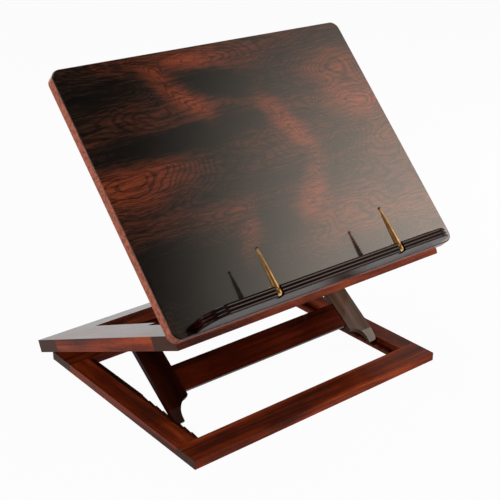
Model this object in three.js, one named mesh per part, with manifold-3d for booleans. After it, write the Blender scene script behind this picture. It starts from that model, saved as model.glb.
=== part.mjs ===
// Adjustable atlas stand: a base frame, a tilting frame with a ratchet prop, and a polished board with a ledge.
// Millimetres, +Z up, front towards -Y. The origin is the middle of the front base rail's underside.
import * as THREE from 'three';
import { mergeVertices } from 'three/addons/utils/BufferGeometryUtils.js';
import Module from 'manifold-3d';

const wasm = await Module();
wasm.setup();

// Base frame
const BASE_WIDTH = 414;
const BASE_DEPTH = 338;
const BASE_THICK = 11.8;
const BASE_FRONT_RAIL = 38;
const BASE_BACK_RAIL = 48;
const BASE_SIDE_RAIL = 40;

// Tilting frame
const FRAME_WIDTH = 432;
const FRAME_DEPTH = 372;
const FRAME_THICK = 17.8;
const FRAME_FRONT_RAIL = 53;
const FRAME_BACK_RAIL = 55;
const FRAME_SIDE_RAIL = 64;
const FRAME_TILT = 23.8;
const FRAME_OVERHANG = 15;

// Board
const BOARD_WIDTH = 457;
const BOARD_HEIGHT = 353;
const BOARD_THICK = 16.8;
const BOARD_CORNER = 12;
const BOARD_EASE = 1.2;
const BOARD_OPENING = 70.1;
const BOARD_OVERHANG = 10.5;

// Ledge with a reeded edge
const LEDGE_LENGTH = 400;
const LEDGE_DEPTH = 40;
const LEDGE_CORNER = 28;
const LEDGE_RISE = 0.6;
const REED_PITCH = 4.2;
const REED_LAP = 0.4;
const REED_COUNT = 3;

// Page holders
const HOLDER_SPACING = 200;
const HOLDER_LENGTH = 58;
const HOLDER_BASE_R = 3.6;
const HOLDER_TIP_R = 1.1;
const HOLDER_BALL_R = 2;
const HOLDER_SETBACK = 4;
const HOLDER_NOTCH = 9;
const HOLDER_PIVOT_R = 1.2;
const HOLDER_PIVOT_BITE = 6;
const STUD_R = 1.9;
const STUD_STEM_R = 1.1;
const STUD_STEM = 3;
const STUD_OFFSET = 8.5;

// Props: a front one from the frame down to the base, a rear one from the board down to the frame
const PROP_REACH = 170.8;
const PROP_END_GAP = 3;
const PROP_THICK = 8;
const REAR_REACH = 115;
const REAR_EXTRA = 0.7;
const REAR_THICK = 7;
const REAR_RATIO = 2;
const REAR_SPARE_OPENING = 4;
const LEG_WIDTH = 35.5;
const FOOT_WIDTH = 14.5;
const FOOT_TIP = 4;
const FOOT_BEVEL = 19;
const FOOT_ROUND = 6;
const COVE_RISE = 6.5;
const COVE_LIP = 2.5;
const STRETCHER_ABOVE_FOOT = 36;
const STRETCHER_HEIGHT = 38;
const STRETCHER_THICK = 6;
const STUB_LENGTH = 8;
const STUB_THICK = 3;
const STUB_SHOULDER = 4;
const PIVOT_INSET = 3;
const PIVOT_R = 1.5;
const PIVOT_IN_LEG = 19;
const PIVOT_IN_RAIL = 11;

// Ratchets: saw-tooth notches, each a long slope ending at a steep wall
const RATCHET_WIDTH = 11.5;
const NOTCH_DEPTH = 2;
const NOTCH_WALL = 2;
const NOTCH_PITCH = 15.6;
const NOTCH_FIRST = 13.5;
const BASE_REBATE_FLOOR = 6.2;
const BASE_TOOTH_TOP = 5.2;
const FOOT_CLEAR = 0.45;
const REAR_NOTCH_PITCH = 13;
const REAR_NOTCH_FIRST = 16;
const REAR_NOTCH_COUNT = 7;
const REAR_TOOTH_DROP = 0.35;

// Butt hinges
const HINGE_GAP = 1.2;
const HINGE_LENGTH = 50;
const HINGE_FROM_END = 81;
const LEAF_WIDTH = 24;
const LEAF_LET_IN = 0.8;
const BARREL_R = 2.3;
const HINGE_PIN_R = 1.1;

const LEAF_CLEAR = 0.2;

// Tenons of the side rails
const TENON_LENGTH = 18;
const TENON_WIDTH = 18;
const TENON_THICK = 4;
const TENON_INSET = 5;

// Fits: glued seams, slip fits of pins and tenons, and room beside moving pieces
const SEAM = 0.05;
const SLIP = 0.1;
const SWING = 0.5;
// Length by which a cutter passes the face it cuts
const OVER = 1;

const BARREL_ROOM = BARREL_R + SWING;
const hingeX = FRAME_WIDTH / 2 - HINGE_FROM_END;
const hingeXs = [-hingeX, hingeX];
const rad = THREE.MathUtils.degToRad;
const TWO_SIDES = [{ name: 'left', s: -1 }, { name: 'right', s: 1 }];

const WOOD = { color: 0x4a1d10, roughness: 0.25, metalness: 0 };
const WOOD_DARK = { color: 0x2e140c, roughness: 0.2, metalness: 0 };
const BRASS = { color: 0xb98a3c, roughness: 0.3, metalness: 1 };

// Turns a geometry into a solid for cutting and joining
function solid(geometry) {
  const plain = geometry.clone();
  plain.deleteAttribute('normal');
  plain.deleteAttribute('uv');
  const merged = mergeVertices(plain, 1e-4);
  const index = merged.index.array;
  const kept = [];
  for (let i = 0; i < index.length; i += 3) {
    const [a, b, c] = [index[i], index[i + 1], index[i + 2]];
    if (a !== b && b !== c && a !== c) {
      kept.push(a, b, c);
    }
  }
  return new wasm.Manifold(new wasm.Mesh({
    numProp: 3,
    vertProperties: new Float32Array(merged.attributes.position.array),
    triVerts: new Uint32Array(kept),
  }));
}

function box(x0, x1, y0, y1, z0, z1) {
  const geometry = new THREE.BoxGeometry(Math.abs(x1 - x0), Math.abs(y1 - y0), Math.abs(z1 - z0));
  geometry.translate((x0 + x1) / 2, (y0 + y1) / 2, (z0 + z1) / 2);
  return solid(geometry);
}

// Round rod along X
function rod(radius, x0, x1, y, z, sides = 24) {
  const geometry = new THREE.CylinderGeometry(radius, radius, Math.abs(x1 - x0), sides);
  geometry.rotateZ(Math.PI / 2);
  geometry.translate((x0 + x1) / 2, y, z);
  return solid(geometry);
}

// Prism along X from a profile of [y, z] points
function prismX(points, x0, x1) {
  const shape = new THREE.Shape(points.map(([y, z]) => new THREE.Vector2(y, z)));
  const geometry = new THREE.ExtrudeGeometry(shape, { depth: Math.abs(x1 - x0), bevelEnabled: false });
  const turn = new THREE.Matrix4().makeBasis(
    new THREE.Vector3(0, 1, 0), new THREE.Vector3(0, 0, 1), new THREE.Vector3(1, 0, 0));
  geometry.applyMatrix4(turn);
  geometry.translate(Math.min(x0, x1), 0, 0);
  return solid(geometry);
}

function mesh(name, body, look) {
  const data = body.getMesh();
  const geometry = new THREE.BufferGeometry();
  geometry.setAttribute('position', new THREE.BufferAttribute(new Float32Array(data.vertProperties), 3));
  geometry.setIndex(new THREE.BufferAttribute(new Uint32Array(data.triVerts), 1));
  geometry.computeVertexNormals();
  const item = new THREE.Mesh(geometry, new THREE.MeshStandardMaterial(look));
  item.name = name;
  return item;
}

// Saw-tooth line of [y, z] points; each slope falls in the given direction and ends at a steep wall
function teeth(first, direction, count, pitch, top) {
  const points = [[first - direction * (pitch - NOTCH_WALL), top]];
  for (let i = 0; i < count; i += 1) {
    const valley = first + direction * pitch * i;
    points.push([valley, top - NOTCH_DEPTH]);
    points.push([valley + direction * NOTCH_WALL, top]);
  }
  return points;
}

// Tenon on the end of a side rail, or its mortise when it is grown by a clearance
function tenon(s, outer, yEnd, direction, zMid, grow) {
  const far = outer - TENON_INSET + grow;
  const near = outer - TENON_INSET - TENON_WIDTH - grow;
  const tip = yEnd + direction * (TENON_LENGTH + grow);
  const half = TENON_THICK / 2 + grow;
  return box(s * near, s * far, yEnd - direction * OVER, tip, zMid - half, zMid + half);
}

// Wood cut away round a hinge whose axis is at (y, z). Side is +1 for wood above the axis, -1 below.
function hingeCut(x, y, z, reach, side) {
  const half = HINGE_LENGTH / 2 + SWING;
  const deep = z + side * (HINGE_GAP / 2 + LEAF_LET_IN + SLIP);
  const plate = box(x - half, x + half, y, y + reach * (LEAF_WIDTH + SWING), z - side * OVER, deep);
  if (side < 0) {
    return plate;
  }
  return plate.add(box(x - half, x + half, y - BARREL_ROOM, y + BARREL_ROOM, z - OVER, z + BARREL_ROOM));
}

// One leaf with its knuckles, the hinge axis along X through the origin
function hingeLeaf(x, reach, side) {
  const third = HINGE_LENGTH / 3;
  const knuckles = side < 0 ? [-1, 1] : [0];
  const zFar = side * (HINGE_GAP / 2 + LEAF_LET_IN);
  const zNear = side * LEAF_CLEAR;
  const edge = BARREL_ROOM - SLIP;
  let leaf = box(x - HINGE_LENGTH / 2, x + HINGE_LENGTH / 2, reach * edge, reach * LEAF_WIDTH, zNear, zFar);
  for (const place of knuckles) {
    const x0 = x + (place - 0.5) * third + LEAF_CLEAR;
    const x1 = x + (place + 0.5) * third - LEAF_CLEAR;
    leaf = leaf.add(box(x0, x1, 0, reach * (edge + OVER), zNear, zFar));
    leaf = leaf.add(rod(BARREL_R, x0, x1, 0, 0));
  }
  return leaf.subtract(rod(HINGE_PIN_R + SLIP, x - HINGE_LENGTH, x + HINGE_LENGTH, 0, 0));
}

// A pair of hinges: lower leaves and pins in one group, upper leaves in the group that turns about the axis
function addHinges(name, lowerGroup, upperGroup, reach, y, z) {
  TWO_SIDES.forEach((side, i) => {
    const x = hingeXs[i];
    const pinHalf = HINGE_LENGTH / 2;
    const lower = mesh(`${name}_${side.name}_lower_leaf`, hingeLeaf(x, reach, -1), BRASS);
    const pin = mesh(`${name}_${side.name}_pin`, rod(HINGE_PIN_R, x - pinHalf, x + pinHalf, 0, 0), BRASS);
    lower.position.set(0, y, z);
    pin.position.set(0, y, z);
    lowerGroup.add(lower, pin);
    upperGroup.add(mesh(`${name}_${side.name}_upper_leaf`, hingeLeaf(x, reach, 1), BRASS));
  });
}

// Prop leg along +Y from its pivot at the origin, thickness centred on z = 0, foot thinned on one face
function propLeg(s, outer, length, thick, thinSide, stretcher) {
  const inner = outer - LEG_WIDTH;
  const half = thick / 2;
  const cove = LEG_WIDTH - FOOT_WIDTH;
  const coveCentre = length - COVE_RISE;
  const shape = new THREE.Shape();
  shape.moveTo(outer, 0);
  shape.lineTo(outer, length - FOOT_ROUND);
  shape.absarc(outer - FOOT_ROUND, length - FOOT_ROUND, FOOT_ROUND, 0, Math.PI / 2, false);
  shape.lineTo(inner + cove, length);
  shape.lineTo(inner + cove, coveCentre);
  shape.absarc(inner, coveCentre, cove, 0, -Math.acos(COVE_LIP / cove), true);
  shape.lineTo(inner, coveCentre - cove - COVE_LIP);
  shape.lineTo(inner, 0);
  const geometry = new THREE.ExtrudeGeometry(shape, { depth: thick, bevelEnabled: false, curveSegments: 14 });
  geometry.translate(0, 0, -half);
  const face = thinSide * half;
  const thinned = thinSide * (half - thick + FOOT_TIP);
  const past = thinSide * (half + OVER);
  const bevel = [[length - FOOT_BEVEL, face], [length + OVER, thinned], [length + OVER, past],
    [length - FOOT_BEVEL, past]];
  const mortise = box(inner - OVER, inner + STUB_LENGTH + SLIP, stretcher.from + STUB_SHOULDER - SLIP,
    stretcher.to - STUB_SHOULDER + SLIP, -STUB_THICK / 2 - SLIP, STUB_THICK / 2 + SLIP);
  const leg = solid(geometry)
    .add(rod(half, inner, outer, 0, 0))
    .subtract(prismX(bevel, inner - OVER, outer + OVER))
    .subtract(mortise)
    .subtract(rod(PIVOT_R + SLIP, outer - PIVOT_IN_LEG - SLIP, outer + OVER, 0, 0));
  return s > 0 ? leg : leg.mirror([1, 0, 0]);
}

// Cross piece between the legs with a stub tenon at each end
function propStretcher(outer, { from, to }) {
  const inner = outer - LEG_WIDTH;
  const half = STRETCHER_THICK / 2;
  const reach = inner + STUB_LENGTH;
  const stub = STUB_THICK / 2;
  return box(-inner + SLIP, inner - SLIP, from, to, -half, half)
    .add(box(-reach, reach, from + STUB_SHOULDER, to - STUB_SHOULDER, -stub, stub));
}

// Adds the legs and stretcher to the prop's own group and the pivot pins to the group that carries it
function addProp(name, group, carrier, { outer, length, thick, turned, y, z }) {
  const thinSide = turned ? -1 : 1;
  const to = length - STRETCHER_ABOVE_FOOT;
  const stretcher = { from: to - STRETCHER_HEIGHT, to };
  const pieces = [mesh(`${name}_stretcher`, propStretcher(outer, stretcher), WOOD_DARK)];
  for (const { name: sideName, s } of TWO_SIDES) {
    const leg = propLeg(s, outer, length, thick, thinSide, stretcher);
    pieces.push(mesh(`${name}_${sideName}_leg`, leg, WOOD_DARK));
    const pin = rod(PIVOT_R, s * (outer - PIVOT_IN_LEG), s * (outer + PIVOT_IN_RAIL), y, z);
    carrier.add(mesh(`${name}_${sideName}_pin`, pin, BRASS));
  }
  for (const piece of pieces) {
    piece.rotation.x = turned ? Math.PI : 0;
    group.add(piece);
  }
}

// Base frame, lying on the table
const group = new THREE.Group();
group.name = 'atlas_stand';
const baseFront = -BASE_FRONT_RAIL / 2;
const baseBack = baseFront + BASE_DEPTH;
const baseInnerFront = baseFront + BASE_FRONT_RAIL;
const baseInnerBack = baseBack - BASE_BACK_RAIL;
const baseHalf = BASE_WIDTH / 2;
const baseInner = baseHalf - BASE_SIDE_RAIL;
const ratchetOuter = baseInner + RATCHET_WIDTH;
const tiltY = baseBack + BARREL_ROOM;
const tiltZ = BASE_THICK + HINGE_GAP / 2;

let baseFrontRail = box(-baseHalf, baseHalf, baseFront, baseInnerFront, 0, BASE_THICK);
let baseBackRail = box(-baseHalf, baseHalf, baseInnerBack, baseBack, 0, BASE_THICK);
for (const x of hingeXs) {
  baseBackRail = baseBackRail.subtract(hingeCut(x, tiltY, tiltZ, -1, -1));
}
const baseTenonZ = BASE_THICK / 2;
const foldedPivot = tiltY - PROP_REACH;
const notchFirst = foldedPivot - NOTCH_FIRST;
const notchCount = 1 + Math.floor((notchFirst - NOTCH_WALL - baseInnerFront) / NOTCH_PITCH);
for (const { name, s } of TWO_SIDES) {
  const yFront = baseInnerFront + SEAM;
  const yBack = baseInnerBack - SEAM;
  const saw = teeth(notchFirst, -1, notchCount, NOTCH_PITCH, BASE_TOOTH_TOP);
  const rebate = [[yBack + OVER, BASE_THICK + OVER], [yBack + OVER, BASE_REBATE_FLOOR],
    [saw[0][0], BASE_REBATE_FLOOR], ...saw, [yFront - OVER, BASE_TOOTH_TOP],
    [yFront - OVER, BASE_THICK + OVER]];
  const rail = box(s * baseInner, s * baseHalf, yFront, yBack, 0, BASE_THICK)
    .subtract(prismX(rebate, s * (baseInner - OVER), s * ratchetOuter))
    .add(tenon(s, baseHalf, yFront, -1, baseTenonZ, 0))
    .add(tenon(s, baseHalf, yBack, 1, baseTenonZ, 0));
  baseFrontRail = baseFrontRail.subtract(tenon(s, baseHalf, yFront, -1, baseTenonZ, SLIP));
  baseBackRail = baseBackRail.subtract(tenon(s, baseHalf, yBack, 1, baseTenonZ, SLIP));
  group.add(mesh(`base_${name}_rail`, rail, WOOD));
}
group.add(mesh('base_front_rail', baseFrontRail, WOOD));
group.add(mesh('base_back_rail', baseBackRail, WOOD));

// Tilting frame, drawn flat about the hinge axis at the back of the base and then raised at the front
const frame = new THREE.Group();
frame.name = 'tilting_frame';
frame.position.set(0, tiltY, tiltZ);
frame.rotation.x = -rad(FRAME_TILT);
group.add(frame);

const frameBack = FRAME_OVERHANG;
const frameFront = frameBack - FRAME_DEPTH;
const frameInnerBack = frameBack - FRAME_BACK_RAIL;
const frameInnerFront = frameFront + FRAME_FRONT_RAIL;
const frameHalf = FRAME_WIDTH / 2;
const frameInner = frameHalf - FRAME_SIDE_RAIL;
const frameBottom = HINGE_GAP / 2;
const frameTop = frameBottom + FRAME_THICK;
const boardY = frameFront - BARREL_ROOM;
const boardZ = frameTop + HINGE_GAP / 2;

// The front prop folds flat into the frame's underside and inside the base's rebates
const propOuter = ratchetOuter - 2 * SWING;
const propLength = foldedPivot - baseInnerFront - PROP_END_GAP;
const propY = -PROP_REACH;
const propZ = frameBottom + PIVOT_INSET;
const propRecess = propZ + PROP_THICK / 2 + SWING;

// The rear prop's feet stand on the inner edges of the frame's side rails
const rearRatchetOuter = frameInner + RATCHET_WIDTH;
const rearOuter = rearRatchetOuter - 2 * SWING;
const rearToothTop = frameTop - REAR_TOOTH_DROP;

let frameFrontRail = box(-frameHalf, frameHalf, frameFront, frameInnerFront, frameBottom, frameTop);
let frameBackRail = box(-frameHalf, frameHalf, frameInnerBack, frameBack, frameBottom, frameTop);
for (const x of hingeXs) {
  frameBackRail = frameBackRail.subtract(hingeCut(x, 0, 0, -1, 1));
  frameFrontRail = frameFrontRail.subtract(hingeCut(x, boardY, boardZ, 1, -1));
}
const frameTenonZ = (propRecess + frameTop) / 2;
for (const { name, s } of TWO_SIDES) {
  const yFront = frameInnerFront + SEAM;
  const yBack = frameInnerBack - SEAM;
  const recessEdge = s * (propOuter + SWING);
  const recessBack = propY + PROP_THICK / 2 + 3 * SWING;
  const recess = box(s * (frameInner - OVER), recessEdge, yFront - OVER, recessBack,
    frameBottom - OVER, propRecess);
  const saw = teeth(frameInnerFront + REAR_NOTCH_FIRST, 1, REAR_NOTCH_COUNT, REAR_NOTCH_PITCH, rearToothTop);
  const sawEnd = saw[saw.length - 1][0];
  const rebate = [[yFront - OVER, rearToothTop], ...saw, [sawEnd, frameTop + OVER],
    [yFront - OVER, frameTop + OVER]];
  const pinEnd = s * (propOuter + PIVOT_IN_RAIL + SLIP);
  const rail = box(s * frameInner, s * frameHalf, yFront, yBack, frameBottom, frameTop)
    .subtract(recess)
    .subtract(prismX(rebate, s * (frameInner - OVER), s * rearRatchetOuter))
    .subtract(rod(PIVOT_R + SLIP, s * propOuter, pinEnd, propY, propZ))
    .add(tenon(s, frameHalf, yFront, -1, frameTenonZ, 0))
    .add(tenon(s, frameHalf, yBack, 1, frameTenonZ, 0));
  frameFrontRail = frameFrontRail.subtract(tenon(s, frameHalf, yFront, -1, frameTenonZ, SLIP));
  frameBackRail = frameBackRail.subtract(tenon(s, frameHalf, yBack, 1, frameTenonZ, SLIP));
  frame.add(mesh(`frame_${name}_rail`, rail, WOOD));
}
frame.add(mesh('frame_front_rail', frameFrontRail, WOOD));
frame.add(mesh('frame_back_rail', frameBackRail, WOOD));
addHinges('base_hinge', group, frame, -1, tiltY, tiltZ);

// Front prop, swung out until the lower corners of its feet stand just above the tooth tops
const tilt = rad(FRAME_TILT);
const pivotHeight = tiltZ + PROP_REACH * Math.sin(tilt) + propZ * Math.cos(tilt);
const footRadius = Math.hypot(propLength, PROP_THICK / 2);
const footAngle = Math.atan2(PROP_THICK / 2, propLength);
const propLean = Math.asin((pivotHeight - BASE_TOOTH_TOP - FOOT_CLEAR) / footRadius) - footAngle;
const frontProp = new THREE.Group();
frontProp.name = 'front_prop';
frontProp.position.set(0, propY, propZ);
frontProp.rotation.x = tilt + propLean;
frame.add(frontProp);
addProp('front_prop', frontProp, frame, {
  outer: propOuter, length: propLength, thick: PROP_THICK, turned: true, y: propY, z: propZ,
});

// Board, drawn flat over the frame about the hinge axis at its front and then opened
const board = new THREE.Group();
board.name = 'board_group';
board.position.set(0, boardY, boardZ);
board.rotation.x = rad(BOARD_OPENING);
frame.add(board);

const boardBack = HINGE_GAP / 2;
const boardFace = boardBack + BOARD_THICK;
const boardLow = -BOARD_OVERHANG;
const boardHigh = boardLow + BOARD_HEIGHT;
const boardHalf = BOARD_WIDTH / 2;
const rearZ = boardBack + PIVOT_INSET;
const rearLength = REAR_REACH + REAR_EXTRA;
const rearRecess = rearZ + REAR_THICK / 2 + SWING;
const rearInner = rearOuter - LEG_WIDTH;

// Room behind the rear pivot, where the leg leaves the board at its widest swing
const rearSwing = Math.PI - rad(REAR_RATIO * (BOARD_OPENING + REAR_SPARE_OPENING));
const rearRoom = PIVOT_INSET / Math.tan(rearSwing) + REAR_THICK / 2 / Math.sin(rearSwing) + OVER;

function roundedPlate(x0, x1, y0, y1, corner, z0, z1) {
  const shape = new THREE.Shape();
  shape.moveTo(x0 + corner, y0);
  shape.lineTo(x1 - corner, y0);
  shape.absarc(x1 - corner, y0 + corner, corner, -Math.PI / 2, 0, false);
  shape.lineTo(x1, y1 - corner);
  shape.absarc(x1 - corner, y1 - corner, corner, 0, Math.PI / 2, false);
  shape.lineTo(x0 + corner, y1);
  shape.absarc(x0 + corner, y1 - corner, corner, Math.PI / 2, Math.PI, false);
  shape.lineTo(x0, y0 + corner);
  shape.absarc(x0 + corner, y0 + corner, corner, Math.PI, Math.PI * 1.5, false);
  const geometry = new THREE.ExtrudeGeometry(shape, {
    depth: z1 - z0 - 2 * BOARD_EASE, curveSegments: 12, bevelEnabled: true, bevelSegments: 2,
    bevelThickness: BOARD_EASE, bevelSize: BOARD_EASE, bevelOffset: -BOARD_EASE,
  });
  geometry.translate(0, 0, z0 + BOARD_EASE);
  return solid(geometry);
}

let boardBody = roundedPlate(-boardHalf, boardHalf, boardLow, boardHigh, BOARD_CORNER, boardBack, boardFace);
for (const x of hingeXs) {
  boardBody = boardBody.subtract(hingeCut(x, 0, 0, 1, 1));
}
for (const { s } of TWO_SIDES) {
  const legFrom = REAR_REACH - rearRoom;
  const legTo = REAR_REACH + rearLength + 3 * SWING;
  const edge = s * (rearOuter + SWING);
  const pinEnd = s * (rearOuter + PIVOT_IN_RAIL + SLIP);
  boardBody = boardBody
    .subtract(box(s * (rearInner - SWING), edge, legFrom, legTo, boardBack - OVER, rearRecess))
    .subtract(rod(PIVOT_R + SLIP, s * rearOuter, pinEnd, REAR_REACH, rearZ));
}
const crossTo = REAR_REACH + rearLength - STRETCHER_ABOVE_FOOT + SWING;
const crossFrom = crossTo - STRETCHER_HEIGHT - 2 * SWING;
boardBody = boardBody.subtract(box(-rearInner, rearInner, crossFrom, crossTo, boardBack - OVER, rearRecess));
board.add(mesh('board', boardBody, WOOD_DARK));
addHinges('board_hinge', frame, board, 1, boardY, boardZ);

// Rear prop, swung out of the board's back by twice the board's opening
const rearProp = new THREE.Group();
rearProp.name = 'rear_prop';
rearProp.position.set(0, REAR_REACH, rearZ);
rearProp.rotation.x = -rad(REAR_RATIO * BOARD_OPENING);
board.add(rearProp);
addProp('rear_prop', rearProp, board, {
  outer: rearOuter, length: rearLength, thick: REAR_THICK, turned: false, y: REAR_REACH, z: rearZ,
});

// Ledge: stacked round-edged layers make the reeds; page holder notches are cut in the front edge
const ledgeSeat = boardFace + SEAM;
const ledgeFront = boardFace + LEDGE_DEPTH;
const ledgeLow = boardLow + LEDGE_RISE;
const reedThick = REED_PITCH + REED_LAP;
const ledgeHigh = ledgeLow + REED_PITCH * REED_COUNT + REED_LAP;
const ledgeHalf = LEDGE_LENGTH / 2;

function ledgeLayer(low) {
  const round = reedThick * 0.49;
  const shape = new THREE.Shape();
  shape.moveTo(-ledgeHalf, boardBack);
  shape.lineTo(ledgeHalf, boardBack);
  shape.lineTo(ledgeHalf, ledgeFront - LEDGE_CORNER);
  shape.absarc(ledgeHalf - LEDGE_CORNER, ledgeFront - LEDGE_CORNER, LEDGE_CORNER, 0, Math.PI / 2, false);
  shape.lineTo(-ledgeHalf + LEDGE_CORNER, ledgeFront);
  shape.absarc(-ledgeHalf + LEDGE_CORNER, ledgeFront - LEDGE_CORNER, LEDGE_CORNER, Math.PI / 2, Math.PI, false);
  const geometry = new THREE.ExtrudeGeometry(shape, {
    depth: reedThick - 2 * round, curveSegments: 12,
    bevelEnabled: true, bevelThickness: round, bevelSize: round, bevelOffset: -round, bevelSegments: 4,
  });
  geometry.rotateX(Math.PI / 2);
  geometry.translate(0, low + reedThick - round, 0);
  return solid(geometry);
}

let ledge = ledgeLayer(ledgeLow);
for (let i = 1; i < REED_COUNT; i += 1) {
  ledge = ledge.add(ledgeLayer(ledgeLow + REED_PITCH * i));
}
ledge = ledge.intersect(box(-boardHalf, boardHalf, boardLow, ledgeHigh + OVER, ledgeSeat, ledgeFront + OVER));

// Page holders: tapered brass spikes with a ball tip, each turning on a pivot across its notch
const holderY = (ledgeLow + ledgeHigh) / 2;
const holderZ = ledgeFront - HOLDER_SETBACK;
const notchBack = holderZ - HOLDER_BASE_R - 5 * SWING;

function pageHolder() {
  const profile = [];
  const steps = 6;
  for (let i = 0; i <= steps; i += 1) {
    const turn = (Math.PI / 2) * (i / steps);
    profile.push(new THREE.Vector2(HOLDER_BASE_R * Math.sin(turn), -HOLDER_BASE_R * Math.cos(turn)));
  }
  const ballY = HOLDER_LENGTH - HOLDER_BALL_R;
  const neck = Math.asin(HOLDER_TIP_R / HOLDER_BALL_R);
  for (let i = 0; i <= steps * 2; i += 1) {
    const turn = neck + (Math.PI - neck) * (i / (steps * 2));
    profile.push(new THREE.Vector2(HOLDER_BALL_R * Math.sin(turn), ballY - HOLDER_BALL_R * Math.cos(turn)));
  }
  profile[0].x = 0;
  profile[profile.length - 1].x = 0;
  const spike = solid(new THREE.LatheGeometry(profile, 24));
  return spike.subtract(rod(HOLDER_PIVOT_R + SLIP, -HOLDER_BASE_R - OVER, HOLDER_BASE_R + OVER, 0, 0));
}

// Small domed stud, its stem let into the ledge
function stud() {
  const profile = [[0, -STUD_STEM], [STUD_STEM_R, -STUD_STEM], [STUD_STEM_R, SEAM], [STUD_R, SEAM]];
  const steps = 5;
  for (let i = 1; i <= steps; i += 1) {
    const turn = (Math.PI / 2) * (i / steps);
    profile.push([i < steps ? STUD_R * Math.cos(turn) : 0, SEAM + STUD_R * Math.sin(turn)]);
  }
  return solid(new THREE.LatheGeometry(profile.map(([r, y]) => new THREE.Vector2(r, y)), 20));
}

const studHoleR = STUD_STEM_R + SLIP;
const studHole = solid(new THREE.CylinderGeometry(studHoleR, studHoleR, 2 * (STUD_STEM + SLIP), 20));
for (const { name, s } of TWO_SIDES) {
  const x = s * HOLDER_SPACING / 2;
  const half = HOLDER_NOTCH / 2;
  const pivotHalf = half + HOLDER_PIVOT_BITE;
  const studAt = [x - STUD_OFFSET, ledgeHigh, holderZ];
  ledge = ledge
    .subtract(box(x - half, x + half, ledgeLow - OVER, ledgeHigh + OVER, notchBack, ledgeFront + OVER))
    .subtract(rod(HOLDER_PIVOT_R + SLIP, x - pivotHalf - SLIP, x + pivotHalf + SLIP, holderY, holderZ))
    .subtract(studHole.translate(studAt));
  const holder = mesh(`page_holder_${name}`, pageHolder(), BRASS);
  holder.position.set(x, holderY, holderZ);
  const pivot = rod(HOLDER_PIVOT_R, x - pivotHalf, x + pivotHalf, holderY, holderZ);
  const button = mesh(`page_holder_${name}_stud`, stud(), BRASS);
  button.position.set(...studAt);
  board.add(holder, mesh(`page_holder_${name}_pivot`, pivot, BRASS), button);
}
board.add(mesh('ledge', ledge, WOOD_DARK));

export default group;
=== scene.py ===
import math

import bmesh
import bpy
from mathutils import Matrix, Vector


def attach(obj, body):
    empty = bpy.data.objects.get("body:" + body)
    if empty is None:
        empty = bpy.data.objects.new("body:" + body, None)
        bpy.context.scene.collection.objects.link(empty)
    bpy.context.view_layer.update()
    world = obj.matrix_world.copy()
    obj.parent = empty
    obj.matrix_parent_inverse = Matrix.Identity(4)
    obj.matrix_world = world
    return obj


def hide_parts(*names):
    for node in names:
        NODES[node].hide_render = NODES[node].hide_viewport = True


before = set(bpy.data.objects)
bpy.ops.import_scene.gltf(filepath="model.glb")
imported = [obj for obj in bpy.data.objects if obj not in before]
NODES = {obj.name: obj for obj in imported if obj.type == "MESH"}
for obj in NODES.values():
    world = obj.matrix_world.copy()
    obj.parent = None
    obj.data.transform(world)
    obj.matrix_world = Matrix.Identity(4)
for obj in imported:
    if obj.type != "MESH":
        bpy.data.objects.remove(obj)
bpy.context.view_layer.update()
SCENE = bpy.context.scene

# Places and angles of the CAD part, in metres and degrees
BASE_AXIS = Vector((0, 0.3218, 0.0124))
BOARD_AXIS = Vector((0, 0.000265, 0.17498))
FRAME_SLOPE = -23.8
BOARD_SLOPE = 46.3
FRONT_PROP_SLOPE = 35.95
REAR_PROP_SLOPE = -93.9
HALF_BASE = 0.207
HALF_FRAME = 0.216
HINGE_X = 0.135
HOLDER_X = 0.1
HOLDER_PIVOT = (-0.0033, 0.0534)
VENEER_FACE = 0.0174

# Hinge line and slope of the pieces that lean about it
TILTED_FRAME = (BASE_AXIS, FRAME_SLOPE)
FRONT_PROP = (BASE_AXIS, FRONT_PROP_SLOPE)
REAR_PROP = (BOARD_AXIS, REAR_PROP_SLOPE)
BOARD = (BOARD_AXIS, BOARD_SLOPE)

# Camera at the photograph's angle
CAMERA_EYE = Vector((-0.79868, -0.85382, 0.73263))
CAMERA_TARGET = Vector((0.0228, 0.16234, 0.15808))
CAMERA_ANGLE = 26.97
CAMERA_REACH = 200

# Wood colours from dark to light
MAHOGANY = [
    (0.008, 0.002, 0.001), (0.048, 0.007, 0.0022), (0.135, 0.018, 0.0042), (0.29, 0.052, 0.012),
]
PROP_WOOD = [
    (0.003, 0.0008, 0.0005), (0.011, 0.0017, 0.0007), (0.03, 0.0034, 0.001), (0.068, 0.0088, 0.0022),
]
DARK_WOOD = [
    (0.002, 0.0006, 0.0004), (0.005, 0.001, 0.0005), (0.011, 0.0017, 0.0007), (0.026, 0.004, 0.0013),
]
# Palette of the front prop's right leg: paler and greyer than its twin's, painted light on a leg of the
# same wood
PAINTED_LIGHT_LEG_WOOD = [
    (0.008, 0.004, 0.0026), (0.024, 0.012, 0.008), (0.05, 0.026, 0.017), (0.09, 0.05, 0.034),
]
LIPPING = [
    (0.07, 0.016, 0.008), (0.14, 0.033, 0.016), (0.22, 0.055, 0.026), (0.3, 0.085, 0.04),
]
ROSEWOOD = [
    (0.003, 0.002, 0.0016), (0.017, 0.0066, 0.004), (0.074, 0.0175, 0.0075), (0.21, 0.038, 0.013),
]
END_GRAIN = [(0.012, 0.005, 0.003), (0.05, 0.016, 0.008)]
WHITE = (1, 1, 1)

# Brass colours from brown to bright, and the dark brown of the painted dark reflection at a page holder's
# tip
BRASS_TONES = [(0.4, 0.18, 0.05), (0.68, 0.37, 0.13), (0.84, 0.55, 0.27)]
TIP_REFLECTION_COLOUR = (0.03, 0.016, 0.008, 1)
BRASS_METAL = 0.88

# Where each colour of a palette sits along its noise
GRAIN_STOPS = (0.3, 0.44, 0.55, 0.7)
FIGURE_STOPS = (0.22, 0.41, 0.6, 0.92)
END_STOPS = (0.35, 0.65)
BRASS_STOPS = (0.3, 0.55, 0.75)

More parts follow.
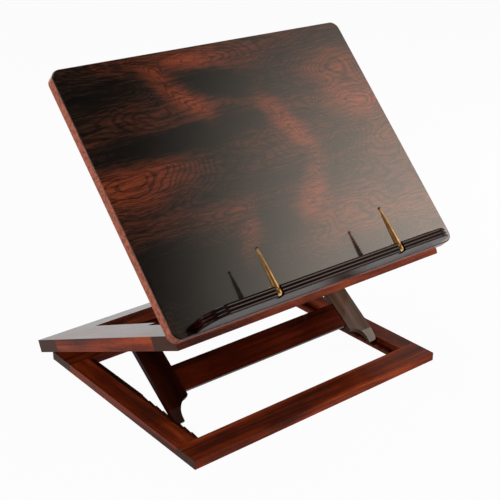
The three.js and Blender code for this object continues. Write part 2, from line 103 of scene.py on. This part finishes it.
# Dark lines over a wood: (amount, places along the noise, colours there)
WOOD_PORES = (0.7, (0.34, 0.5), [(0.45, 0.38, 0.36), WHITE])
VENEER_RINGS = (0.75, (0.3, 0.7), [WHITE, (0.22, 0.19, 0.18)])
VENEER_GRAIN = (0.8, (0.34, 0.56), [(0.3, 0.25, 0.25), WHITE])
VENEER_PORES = (0.5, (0.36, 0.5), [(0.4, 0.35, 0.33), WHITE])

# Noises: (scale, detail, roughness, and distortion where there is any)
STREAK_NOISE = (1.0, 7, 0.62, 0.9)
CLOUD_NOISE = (11, 3, 0.5)
PORE_NOISE = (1.0, 2, 0.5)
END_NOISE = (900, 3, 0.6)
LEVEL_NOISE = (1.0, 1.5, 0.4)
FINE_NOISE = (1.0, 6, 0.65)
PATCH_NOISE = (70, 3, 0.5)
DENT_NOISE = (420, 2, 0.5)
NOISE_MIDDLE = 0.5

# Shares of streaks and clouds in straight-grained wood
STREAK_SHARE = 0.72
CLOUD_SHARE = 0.28

# Scales of a noise along X, Y and Z, in straight-grained wood by the way the grain runs
STREAK_SCALE = {"X": (3, 55, 55), "Y": (55, 3, 55)}
PORE_SCALE = {"X": (60, 1500, 1500), "Y": (1500, 60, 1500)}
LEVEL_SCALE = (5, 15, 15)
FINE_SCALE = (24, 260, 260)
VENEER_PORE_SCALE = (90, 1400, 1400)

# Where the grain of the base's side rails is measured from
SIDE_RAIL_ORIGIN = (0.3, 0.1, 0)

# Pushes of the veneer's coordinates: (scale of the noise, amount in metres)
LEVEL_WARP = (9, 0.026)
FINE_WARP = (30, 0.004)
WARP_DETAIL = 4
WARP_ROUGHNESS = 0.55

# Distances from a rail's end where its end grain begins and is full, and the same for the board's lipping
# below the veneer's face
END_FROM = 0.0007
END_FULL = 0.0003
LIPPING_FROM = 0.0016
LIPPING_FULL = 0.0026

# Roughness at the low and the high end of a noise
WOOD_ROUGHNESS = (0.18, 0.42)
VENEER_ROUGHNESS = (0.2, 0.36)
BRASS_ROUGHNESS = (0.36, 0.22)

# Fine relief: (strength, distance in metres)
WOOD_BUMP = (0.12, 0.0003)
VENEER_BUMP = (0.05, 0.0002)
BRASS_BUMP = (0.05, 0.00008)

# Polish: the clear coat begins and is full at these upward parts of a face's normal
COAT_FROM = 0.1
COAT_FULL = 0.4
COAT_ROUGHNESS = 0.07
WOOD_COAT = 0.4
DULL_COAT = 0.15
LEFT_LEG_COAT = 0.25
RIGHT_LEG_COAT = 0.6
FULL_COAT = 1.0
WOOD_GLOSS = 0.05
VENEER_GLOSS = 0.1

# Red and black patches of the board's figure: (x, y, half length, half width, turn in degrees, height), in
# metres on the board from its hinge line
FIGURE = [
    (-0.072, 0.276, 0.055, 0.018, -57, 0.5),
    (0.058, 0.217, 0.05, 0.018, -60, 0.55),
    (0.056, 0.12, 0.045, 0.018, 52, 0.5),
    (-0.074, 0.07, 0.034, 0.014, 56, 0.36),
    (-0.047, 0.327, 0.03, 0.012, -20, 0.35),
    (0.186, 0.235, 0.06, 0.05, 80, 0.4),
    (0.19, 0.08, 0.06, 0.06, 0, 0.12),
    (-0.155, 0.178, 0.09, 0.042, -8, 0.3),
    (-0.16, 0.175, 0.13, 0.065, -5, -0.2),
    (-0.13, 0.115, 0.1, 0.014, 2, 0.25),
    (-0.12, 0.222, 0.13, 0.016, 1, -0.55),
    (-0.014, 0.285, 0.05, 0.02, -15, -0.5),
    (-0.15, 0.05, 0.12, 0.045, 0, -0.5),
    (-0.02, 0.09, 0.03, 0.03, 0, -0.3),
]
HILL_SHARE = 0.7
HILL_POWER = 3.0
HILL_FALL = -0.8
RING_FREQUENCY = 200.0
RING_RANGE = (0.25, 0.75)
FINE_SHARE = 0.5

# Eased edges: widths by kind of piece, and the angle in degrees from which an edge counts
EASE = {
    "base_across": 0.0008,
    "base_along": 0.0004,
    "frame_across": 0.001,
    "frame_along": 0.0003,
    "stretcher": 0.0005,
    "leg": 0.0004,
}
EASE_SEGMENTS = 2
EASE_ANGLE = 50

# Page holder outline: (radius, distance along the spike from its pivot), in metres
HOLDER_OUTLINE = [
    (0, -0.0054), (0.0018, -0.0052), (0.0032, -0.0044), (0.004, -0.0028), (0.0042, -0.001),
    (0.0041, 0.0022), (0.0036, 0.0028), (0.0036, 0.0034), (0.004, 0.004), (0.0039, 0.006),
    (0.0036, 0.014), (0.0029, 0.03), (0.0019, 0.046), (0.0013, 0.0528), (0.0016, 0.0532),
    (0.0016, 0.0537), (0.0012, 0.0541), (0.0016, 0.0547), (0.002, 0.0553), (0.0021, 0.056),
    (0.0019, 0.0569), (0.0012, 0.0576), (0, 0.058),
]
HOLDER_STEPS = 40
# Where the painted dark reflection at a page holder's tip begins along the spike, and the length it fades
# in over
HOLDER_TIP_FROM = 0.0535
HOLDER_TIP_FADE = 0.003

# Screws of the butt hinges: (hinge, leaf, axis, slope, reach along Y, side of the leaf's shown face, body)
SCREW_ROWS = [
    ("base_hinge", "lower", BASE_AXIS, 0.0, -1, 1, "base"),
    ("base_hinge", "upper", BASE_AXIS, FRAME_SLOPE, -1, -1, "tilting_frame"),
    ("board_hinge", "lower", BOARD_AXIS, FRAME_SLOPE, 1, 1, "tilting_frame"),
    ("board_hinge", "upper", BOARD_AXIS, BOARD_SLOPE, 1, -1, "book_board"),
]
SCREW_SPACING = 0.017
SCREW_BACK = 0.0145
SCREW_RADIUS = 0.0026
SCREW_SLOT = 0.0008
SCREW_DEPTH = 0.0004
SCREW_PROUD = 0.0001
SCREW_STEPS = 14
SLOT_FLOOR_RADIUS = 0.98
SLOT_FLOOR_TOP = 0.9
SLOT_TURN_BY_SCREW = 0.7
SLOT_TURN_BY_HINGE = 0.4
LEAF_FACE = 0.0002

# Floor
HALF_FLOOR = 60.0
FLOOR_DROP = 0.0003
FLOOR_GLOW = 0.96
FLOOR_COLOUR = (0.5, 0.5, 0.5, 1)
FLOOR_ROUGHNESS = 0.9
FLOOR_GLOSS = 0.1

# Room: strengths, and where each light begins and is full along a part of the direction looked in
ROOM_COLOUR = (1, 0.89, 0.77, 1)
ROOM_STRENGTH = 0.035
WINDOW_STRENGTH = 5.8
WINDOW_LEAN = -0.35
WINDOW_RIGHT = (0.22, 0.54)
WINDOW_FRONT = (0.1, 0.5)
WINDOW_HEIGHT = (0.3, 0.55)
FAR_WALL_STRENGTH = 0.7
FAR_WALL_BACK = (0.3, 0.5)
FAR_WALL_RIGHT = (0.6, 0.72)
BACKDROP_COLOUR = (0.97, 0.97, 0.97, 1)
HORIZON_HEIGHT = (0.1, 0.25)

# Softboxes: (name, place, aim, width, height, watts, seen in reflections)
SOFTBOXES = [
    ("right_softbox", (1.8, -0.4, 0.65), (0.1, 0.1, 0.1), 0.9, 0.8, 38, False),
    ("top_softbox", (-0.1, 0.6, 2.2), (0, 0.1, 0.1), 1.6, 1.2, 12, True),
    ("left_softbox", (-1.6, 0.1, 0.5), (0, 0.1, 0.15), 0.9, 0.7, 26, False),
    ("front_softbox", (1.2, -1.8, 0.45), (0.1, 0.1, 0.05), 1.2, 0.6, 34, False),
]

# Sockets of a colour mix node
MIX_FIRST = 6
MIX_SECOND = 7
MIX_RESULT = 2


class Graph:
    """A node tree with short ways to add and join nodes."""

    def __init__(self, tree):
        self.tree = tree

    def node(self, kind, inputs=None, **settings):
        made = self.tree.nodes.new(kind)
        for key, value in settings.items():
            setattr(made, key, value)
        for key, value in (inputs or {}).items():
            self.set(made.inputs[key], value)
        return made

    def set(self, socket, value):
        if isinstance(value, bpy.types.NodeSocket):
            self.tree.links.new(value, socket)
        else:
            socket.default_value = value

    def math(self, operation, *values):
        return self.node("ShaderNodeMath", dict(enumerate(values)), operation=operation).outputs[0]

    def vector_math(self, operation, inputs, output=0):
        return self.node("ShaderNodeVectorMath", inputs, operation=operation).outputs[output]

    def axes(self, vector):
        """A vector's three numbers."""
        return self.node("ShaderNodeSeparateXYZ", {0: vector}).outputs

    def fade(self, value, start, end, low=0.0, high=1.0, shape="LINEAR"):
        """Low at start, high at end, and no further beyond them."""
        inputs = {0: value, 1: start, 2: end, 3: low, 4: high}
        return self.node("ShaderNodeMapRange", inputs, interpolation_type=shape).outputs[0]

    def smooth_fade(self, value, start, end):
        return self.fade(value, start, end, shape="SMOOTHSTEP")

    def rescale(self, value, low, high):
        return self.fade(value, 0.0, 1.0, low, high)

    def place(self, origin, slope):
        """Coordinates from origin, turned with a piece that slopes by an angle about X."""
        coords = self.node("ShaderNodeTexCoord").outputs["Object"]
        inputs = {"Vector": coords, "Location": origin, "Rotation": (math.radians(slope), 0, 0)}
        return self.node("ShaderNodeMapping", inputs, vector_type="TEXTURE").outputs[0]

    def stretch(self, vector, scale):
        return self.node("ShaderNodeMapping", {"Vector": vector, "Scale": scale}).outputs[0]

    def noise(self, vector, scale, detail, roughness, distortion=0.0, output="Fac"):
        inputs = {
            "Vector": vector,
            "Scale": scale,
            "Detail": detail,
            "Roughness": roughness,
            "Distortion": distortion,
        }
        return self.node("ShaderNodeTexNoise", inputs).outputs[output]

    def warp(self, vector, scale, amount):
        """Coordinates pushed about by noise."""
        push = self.noise(vector, scale, WARP_DETAIL, WARP_ROUGHNESS, output="Color")
        push = self.vector_math("SUBTRACT", {0: push, 1: (NOISE_MIDDLE,) * 3})
        push = self.vector_math("SCALE", {0: push, "Scale": amount})
        return self.vector_math("ADD", {0: vector, 1: push})

    def ramp(self, factor, places, colours):
        made = self.node("ShaderNodeValToRGB", {"Fac": factor})
        band = made.color_ramp
        while len(band.elements) < len(places):
            band.elements.new(0.5)
        for element, place, colour in zip(band.elements, places, colours):
            element.position = place
            element.color = (*colour, 1)
        return made.outputs[0]

    def tint(self, colour, factor, other, blend="MIX"):
        made = self.node("ShaderNodeMix", {"Factor": factor}, data_type="RGBA", blend_type=blend)
        self.set(made.inputs[MIX_FIRST], colour)
        self.set(made.inputs[MIX_SECOND], other)
        return made.outputs[MIX_RESULT]

    def darken(self, colour, factor, amount, places, colours):
        """The colour multiplied by a ramp of the factor."""
        return self.tint(colour, amount, self.ramp(factor, places, colours), "MULTIPLY")

    def shown_rays(self):
        """Two switches: rays from the camera, and rays in reflections or through glass."""
        rays = self.node("ShaderNodeLightPath").outputs
        indirect = self.math("MAXIMUM", rays["Is Glossy Ray"], rays["Is Transmission Ray"])
        return rays["Is Camera Ray"], indirect

    def show(self, output, factor, first, second):
        """Ends the tree in two shaders mixed by a factor: at 0 all the first, at 1 all the second."""
        mix = self.node("ShaderNodeMixShader", {0: factor, 1: first.outputs[0], 2: second.outputs[0]})
        self.set(self.tree.nodes[output].inputs["Surface"], mix.outputs[0])


class Finish(Graph):
    """The node tree of a new material."""

    def __init__(self, name):
        self.material = bpy.data.materials.new(name)
        self.material.use_nodes = True
        super().__init__(self.material.node_tree)
        self.shader = self.tree.nodes["Principled BSDF"]

    def look(self, **values):
        """Sets the shader's sockets, named with underscores for spaces."""
        for key, value in values.items():
            self.set(self.shader.inputs[key.replace("_", " ")], value)

    def bump(self, height, strength, distance):
        inputs = {"Height": height, "Strength": strength, "Distance": distance}
        self.look(Normal=self.node("ShaderNodeBump", inputs).outputs[0])


def polish(finish, colour, roughness, coat, gloss):
    """French polish: the wood's colour under a smooth clear coat, which sides and undersides lack."""
    upward = finish.axes(finish.node("ShaderNodeTexCoord").outputs["Normal"])["Z"]
    finish.look(
        Base_Color=colour,
        Roughness=roughness,
        Coat_Weight=finish.fade(upward, COAT_FROM, COAT_FULL, high=coat),
        Coat_Roughness=COAT_ROUGHNESS,
        Specular_IOR_Level=gloss,
    )


def grained(name, palette, along, origin=(0, 0, 0), slope=0.0, coat=WOOD_COAT, half_length=None):
    """Straight-grained wood along X or the sloping Y, with dark end grain where half_length is given."""
    finish = Finish(name)
    local = finish.place(origin, slope)
    streak = finish.noise(finish.stretch(local, STREAK_SCALE[along]), *STREAK_NOISE)
    cloud = finish.noise(local, *CLOUD_NOISE)
    pores = finish.noise(finish.stretch(local, PORE_SCALE[along]), *PORE_NOISE)
    streak_part = finish.math("MULTIPLY", streak, STREAK_SHARE)
    cloud_part = finish.math("MULTIPLY", cloud, CLOUD_SHARE)
    colour = finish.ramp(finish.math("ADD", streak_part, cloud_part), GRAIN_STOPS, palette)
    colour = finish.darken(colour, pores, *WOOD_PORES)
    if half_length:
        across = finish.math("ABSOLUTE", finish.axes(local)["X"])
        end = finish.fade(across, half_length - END_FROM, half_length - END_FULL)
        speckle = finish.ramp(finish.noise(local, *END_NOISE), END_STOPS, END_GRAIN)
        colour = finish.tint(colour, end, speckle)
    polish(finish, colour, finish.rescale(cloud, *WOOD_ROUGHNESS), coat, WOOD_GLOSS)
    finish.bump(pores, *WOOD_BUMP)
    return finish.material


def figured(name):
    """Rosewood veneer whose contour lines wander round knots and dark bands, over the board's lipping."""
    finish = Finish(name)
    local = finish.place(*BOARD)
    warped = finish.warp(local, *LEVEL_WARP)
    level = finish.noise(finish.stretch(warped, LEVEL_SCALE), *LEVEL_NOISE)
    for x, y, half_long, half_wide, turn, height in FIGURE:
        inputs = {
            "Vector": warped,
            "Location": (x, y, 0),
            "Rotation": (0, 0, math.radians(turn)),
            "Scale": (half_long, half_wide, 1),
        }
        oval = finish.node("ShaderNodeMapping", inputs, vector_type="TEXTURE").outputs[0]
        reach = finish.vector_math("LENGTH", {0: oval}, "Value")
        fall = finish.math("MULTIPLY", finish.math("POWER", reach, HILL_POWER), HILL_FALL)
        hill = finish.math("MULTIPLY", finish.math("EXPONENT", fall), HILL_SHARE * height)
        level = finish.math("ADD", level, hill)
    wave = finish.math("SINE", finish.math("MULTIPLY", level, RING_FREQUENCY))
    rings = finish.rescale(wave, *RING_RANGE)
    grain = finish.noise(finish.stretch(finish.warp(warped, *FINE_WARP), FINE_SCALE), *FINE_NOISE)
    pores = finish.noise(finish.stretch(local, VENEER_PORE_SCALE), *PORE_NOISE)
    ripple = finish.math("MULTIPLY", finish.math("SUBTRACT", grain, NOISE_MIDDLE), FINE_SHARE)
    colour = finish.ramp(finish.math("ADD", level, ripple), FIGURE_STOPS, ROSEWOOD)
    colour = finish.darken(colour, rings, *VENEER_RINGS)
    colour = finish.darken(colour, grain, *VENEER_GRAIN)
    colour = finish.darken(colour, pores, *VENEER_PORES)
    under = finish.fade(finish.axes(local)["Z"], VENEER_FACE - LIPPING_FROM, VENEER_FACE - LIPPING_FULL)
    colour = finish.tint(colour, under, finish.ramp(grain, GRAIN_STOPS, LIPPING))
    polish(finish, colour, finish.rescale(grain, *VENEER_ROUGHNESS), FULL_COAT, VENEER_GLOSS)
    finish.bump(pores, *VENEER_BUMP)
    return finish.material


def brass(name, origin=BOARD_AXIS, slope=BOARD_SLOPE, tip_from=None):
    """Old polished brass, browner in patches, and on the page holders darker at the tip with a painted
    dark reflection.
    """
    finish = Finish(name)
    local = finish.place(origin, slope)
    patches = finish.noise(local, *PATCH_NOISE)
    dents = finish.noise(local, *DENT_NOISE)
    colour = finish.ramp(patches, BRASS_STOPS, BRASS_TONES)
    # Painted dark reflection: the tip of a page holder is darkened in its colour
    if tip_from is not None:
        tip = finish.fade(finish.axes(local)["Y"], tip_from, tip_from + HOLDER_TIP_FADE)
        colour = finish.tint(colour, tip, TIP_REFLECTION_COLOUR)
    roughness = finish.rescale(patches, *BRASS_ROUGHNESS)
    finish.look(Base_Color=colour, Roughness=roughness, Metallic=BRASS_METAL)
    finish.bump(dents, *BRASS_BUMP)
    return finish.material


def dress(node, material, ease=0.0):
    """Gives a CAD node its material and eases its edges."""
    piece = NODES[node]
    piece.data.materials.clear()
    piece.data.materials.append(material)
    if ease:
        soft = piece.modifiers.new("eased edges", "BEVEL")
        soft.width = ease
        soft.segments = EASE_SEGMENTS
        soft.limit_method = "ANGLE"
        soft.angle_limit = math.radians(EASE_ANGLE)
        soft.harden_normals = True


def circle(radius, count):
    turns = [2 * math.pi * i / count for i in range(count)]
    return [(radius * math.cos(turn), radius * math.sin(turn)) for turn in turns]


def finished(name, mesh):
    """The built mesh as mesh data, with its faces turned outward."""
    bmesh.ops.recalc_face_normals(mesh, faces=mesh.faces)
    data = bpy.data.meshes.new(name)
    mesh.to_mesh(data)
    mesh.free()
    return data


def spun(name, outline, steps):
    """A smooth turned shape: the outline spun about Y."""
    mesh = bmesh.new()
    rings = []
    for radius, along in outline:
        points = circle(radius, steps if radius else 1)
        rings.append([mesh.verts.new((x, along, z)) for x, z in points])
    for low, high in zip(rings, rings[1:]):
        for i in range(steps):
            j = (i + 1) % steps
            corners = [low[i % len(low)], low[j % len(low)], high[j % len(high)], high[i % len(high)]]
            mesh.faces.new(list(dict.fromkeys(corners)))
    for face in mesh.faces:
        face.smooth = True
    return finished(name, mesh)


def add_prism(mesh, outline, low, high):
    bottom = [mesh.verts.new((x, y, low)) for x, y in outline]
    top = [mesh.verts.new((x, y, high)) for x, y in outline]
    mesh.faces.new(bottom)
    mesh.faces.new(top)
    for i in range(len(outline)):
        j = (i + 1) % len(outline)
        mesh.faces.new((bottom[i], bottom[j], top[j], top[i]))


def screw_head(name, radius, slot_width, depth, proud):
    """A slotted countersunk head: two half discs over a disc that is the slot's floor, axis along Z."""
    mesh = bmesh.new()
    edge = math.asin(slot_width / 2 / radius)
    for side in (-1, 1):
        rim = []
        for i in range(SCREW_STEPS + 1):
            turn = edge + (math.pi - 2 * edge) * i / SCREW_STEPS
            rim.append((radius * math.cos(turn), side * radius * math.sin(turn)))
        add_prism(mesh, rim, -depth, proud)
    slot_floor = circle(SLOT_FLOOR_RADIUS * radius, 2 * SCREW_STEPS)
    add_prism(mesh, slot_floor, -2 * depth, -depth * SLOT_FLOOR_TOP)
    return finished(name, mesh)


def add_object(name, data):
    made = bpy.data.objects.new(name, data)
    SCENE.collection.objects.link(made)
    return made


def look_at(thing, place, aim):
    """Puts a camera or a lamp at place, turned towards aim."""
    thing.location = place
    thing.rotation_euler = (Vector(aim) - Vector(place)).to_track_quat("-Z", "Y").to_euler()


def leaning(axis, slope):
    """The place and turn of what slopes about a hinge line."""
    return Matrix.Translation(axis) @ Matrix.Rotation(math.radians(slope), 4, "X")


# Wood for each kind of piece
WOOD = {
    "base_across": grained("base_wood_across", MAHOGANY, "X", half_length=HALF_BASE),
    "base_along": grained("base_wood_along", MAHOGANY, "Y", SIDE_RAIL_ORIGIN),
    "frame_across": grained("frame_wood_across", MAHOGANY, "X", *TILTED_FRAME, half_length=HALF_FRAME),
    "frame_along": grained("frame_wood_along", MAHOGANY, "Y", *TILTED_FRAME),
    # The front prop's legs are one wood: the left leg's darker palette is painted shade, the right leg's
    # paler, greyer palette painted light
    "front_left_leg": grained("front_left_leg_wood", DARK_WOOD, "Y", *FRONT_PROP, LEFT_LEG_COAT),
    "front_right_leg": grained("front_right_leg_wood", PAINTED_LIGHT_LEG_WOOD, "Y", *FRONT_PROP, RIGHT_LEG_COAT),
    "front_stretcher": grained("front_stretcher_wood", PROP_WOOD, "X", *FRONT_PROP, DULL_COAT),
    "rear_left_leg": grained("rear_left_leg_wood", PROP_WOOD, "Y", *REAR_PROP, DULL_COAT),
    "rear_right_leg": grained("rear_right_leg_wood", PROP_WOOD, "Y", *REAR_PROP, DULL_COAT),
    "rear_stretcher": grained("rear_stretcher_wood", PROP_WOOD, "X", *REAR_PROP, DULL_COAT),
    "ledge": grained("ledge_wood", DARK_WOOD, "X", *BOARD, FULL_COAT),
}
BRASS = brass("aged_brass")
# Brass of the turned page holders, with the painted dark reflection at the tip
HOLDER_BRASS = brass("holder_brass", (0, 0, 0), 0.0, HOLDER_TIP_FROM)

for part in ("base", "frame"):
    for place in ("front", "back"):
        dress(f"{part}_{place}_rail", WOOD[f"{part}_across"], EASE[f"{part}_across"])
    for side in ("left", "right"):
        dress(f"{part}_{side}_rail", WOOD[f"{part}_along"], EASE[f"{part}_along"])
for prop in ("front", "rear"):
    dress(f"{prop}_prop_stretcher", WOOD[f"{prop}_stretcher"], EASE["stretcher"])
    for side in ("left", "right"):
        dress(f"{prop}_prop_{side}_leg", WOOD[f"{prop}_{side}_leg"], EASE["leg"])
dress("board", figured("rosewood_veneer"))
dress("ledge", WOOD["ledge"])
for node in NODES:
    if "hinge" in node or node.endswith(("_pin", "_pivot", "_stud")):
        dress(node, BRASS)

# Turned page holders
for side, x in (("left", -HOLDER_X), ("right", HOLDER_X)):
    spike = add_object(f"spike_{side}", spun(f"spike_{side}", HOLDER_OUTLINE, HOLDER_STEPS))
    spike.matrix_world = leaning(*BOARD) @ Matrix.Translation((x, *HOLDER_PIVOT))
    spike.data.materials.append(HOLDER_BRASS)
    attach(spike, f"holder_{side}")
    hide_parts(f"page_holder_{side}")

# Hinge screws, three to a leaf, with their slots left at odd angles
SCREW_MESH = screw_head("hinge_screw", SCREW_RADIUS, SCREW_SLOT, SCREW_DEPTH, SCREW_PROUD)
SCREW_MESH.materials.append(BRASS)
for hinge, leaf, axis, slope, reach, side, body in SCREW_ROWS:
    flip = Matrix.Rotation(0.0 if side > 0 else math.pi, 4, "X")
    for end in (-1, 1):
        for i in (-1, 0, 1):
            spot = Vector((end * HINGE_X + i * SCREW_SPACING, reach * SCREW_BACK, -side * LEAF_FACE))
            turn = SLOT_TURN_BY_SCREW * i + SLOT_TURN_BY_HINGE * end
            slot_turn = Matrix.Rotation(turn, 4, "Z")
            screw = add_object(f"{hinge}_{leaf}_screw_{end + 1}_{i + 1}", SCREW_MESH)
            screw.matrix_world = leaning(axis, slope) @ Matrix.Translation(spot) @ flip @ slot_turn
            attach(screw, body)

# Camera
camera_data = bpy.data.cameras.new("camera")
camera_data.sensor_fit = "HORIZONTAL"
camera_data.angle = math.radians(CAMERA_ANGLE)
camera_data.clip_end = CAMERA_REACH
camera = add_object("camera", camera_data)
look_at(camera, CAMERA_EYE, CAMERA_TARGET)
SCENE.camera = camera

# Floor: white to the camera and in reflections, a little less than fully, so that it keeps the shadow
floor_mesh = bpy.data.meshes.new("floor")
floor_corners = [(-HALF_FLOOR, -HALF_FLOOR, 0), (HALF_FLOOR, -HALF_FLOOR, 0),
                 (HALF_FLOOR, HALF_FLOOR, 0), (-HALF_FLOOR, HALF_FLOOR, 0)]
floor_mesh.from_pydata(floor_corners, [], [(0, 1, 2, 3)])
floor = add_object("floor", floor_mesh)
floor.location.z = -FLOOR_DROP
paper = Finish("white_floor")
paper.look(Base_Color=FLOOR_COLOUR, Roughness=FLOOR_ROUGHNESS, Specular_IOR_Level=FLOOR_GLOSS)
glow = paper.node("ShaderNodeEmission", {"Color": (*WHITE, 1), "Strength": 1.0})
floor_shown = paper.math("MULTIPLY", paper.math("MAXIMUM", *paper.shown_rays()), FLOOR_GLOW)
paper.show("Material Output", floor_shown, paper.shader, glow)
floor_mesh.materials.append(paper.material)

# World: a dim room with a high window at the front right and a paler wall at the back right. The camera
# sees a white backdrop instead, and reflections see it near the horizon
world = bpy.data.worlds.new("room")
world.use_nodes = True
SCENE.world = world
sky = Graph(world.node_tree)
to_right, to_back, to_top = sky.axes(sky.node("ShaderNodeTexCoord").outputs["Generated"])
rightness = sky.smooth_fade(sky.math("MULTIPLY_ADD", to_top, WINDOW_LEAN, to_right), *WINDOW_RIGHT)
frontness = sky.smooth_fade(sky.math("MULTIPLY", to_back, -1.0), *WINDOW_FRONT)
window = sky.math("MULTIPLY", rightness, frontness)
window = sky.math("MULTIPLY", window, sky.smooth_fade(to_top, *WINDOW_HEIGHT))
far_wall_back = sky.smooth_fade(to_back, *FAR_WALL_BACK)
far_wall = sky.math("MULTIPLY", far_wall_back, sky.smooth_fade(to_right, *FAR_WALL_RIGHT))
room_light = sky.math("MULTIPLY_ADD", window, WINDOW_STRENGTH, ROOM_STRENGTH)
room_light = sky.math("MULTIPLY_ADD", far_wall, FAR_WALL_STRENGTH, room_light)
room = sky.tree.nodes["Background"]
sky.set(room.inputs["Color"], ROOM_COLOUR)
sky.set(room.inputs["Strength"], room_light)
backdrop = sky.node("ShaderNodeBackground", {"Color": BACKDROP_COLOUR})
horizon = sky.math("SUBTRACT", 1.0, sky.smooth_fade(to_top, *HORIZON_HEIGHT))
from_camera, in_reflection = sky.shown_rays()
backdrop_shown = sky.math("MAXIMUM", from_camera, sky.math("MULTIPLY", in_reflection, horizon))
sky.show("World Output", backdrop_shown, room, backdrop)

# Lamps
for name, place, aim, width, height, watts, mirrored in SOFTBOXES:
    light = bpy.data.lights.new(name, "AREA")
    light.shape = "RECTANGLE"
    light.size = width
    light.size_y = height
    light.energy = watts
    lamp = add_object(name, light)
    lamp.visible_glossy = mirrored
    look_at(lamp, place, aim)

SCENE.view_settings.view_transform = "Standard"
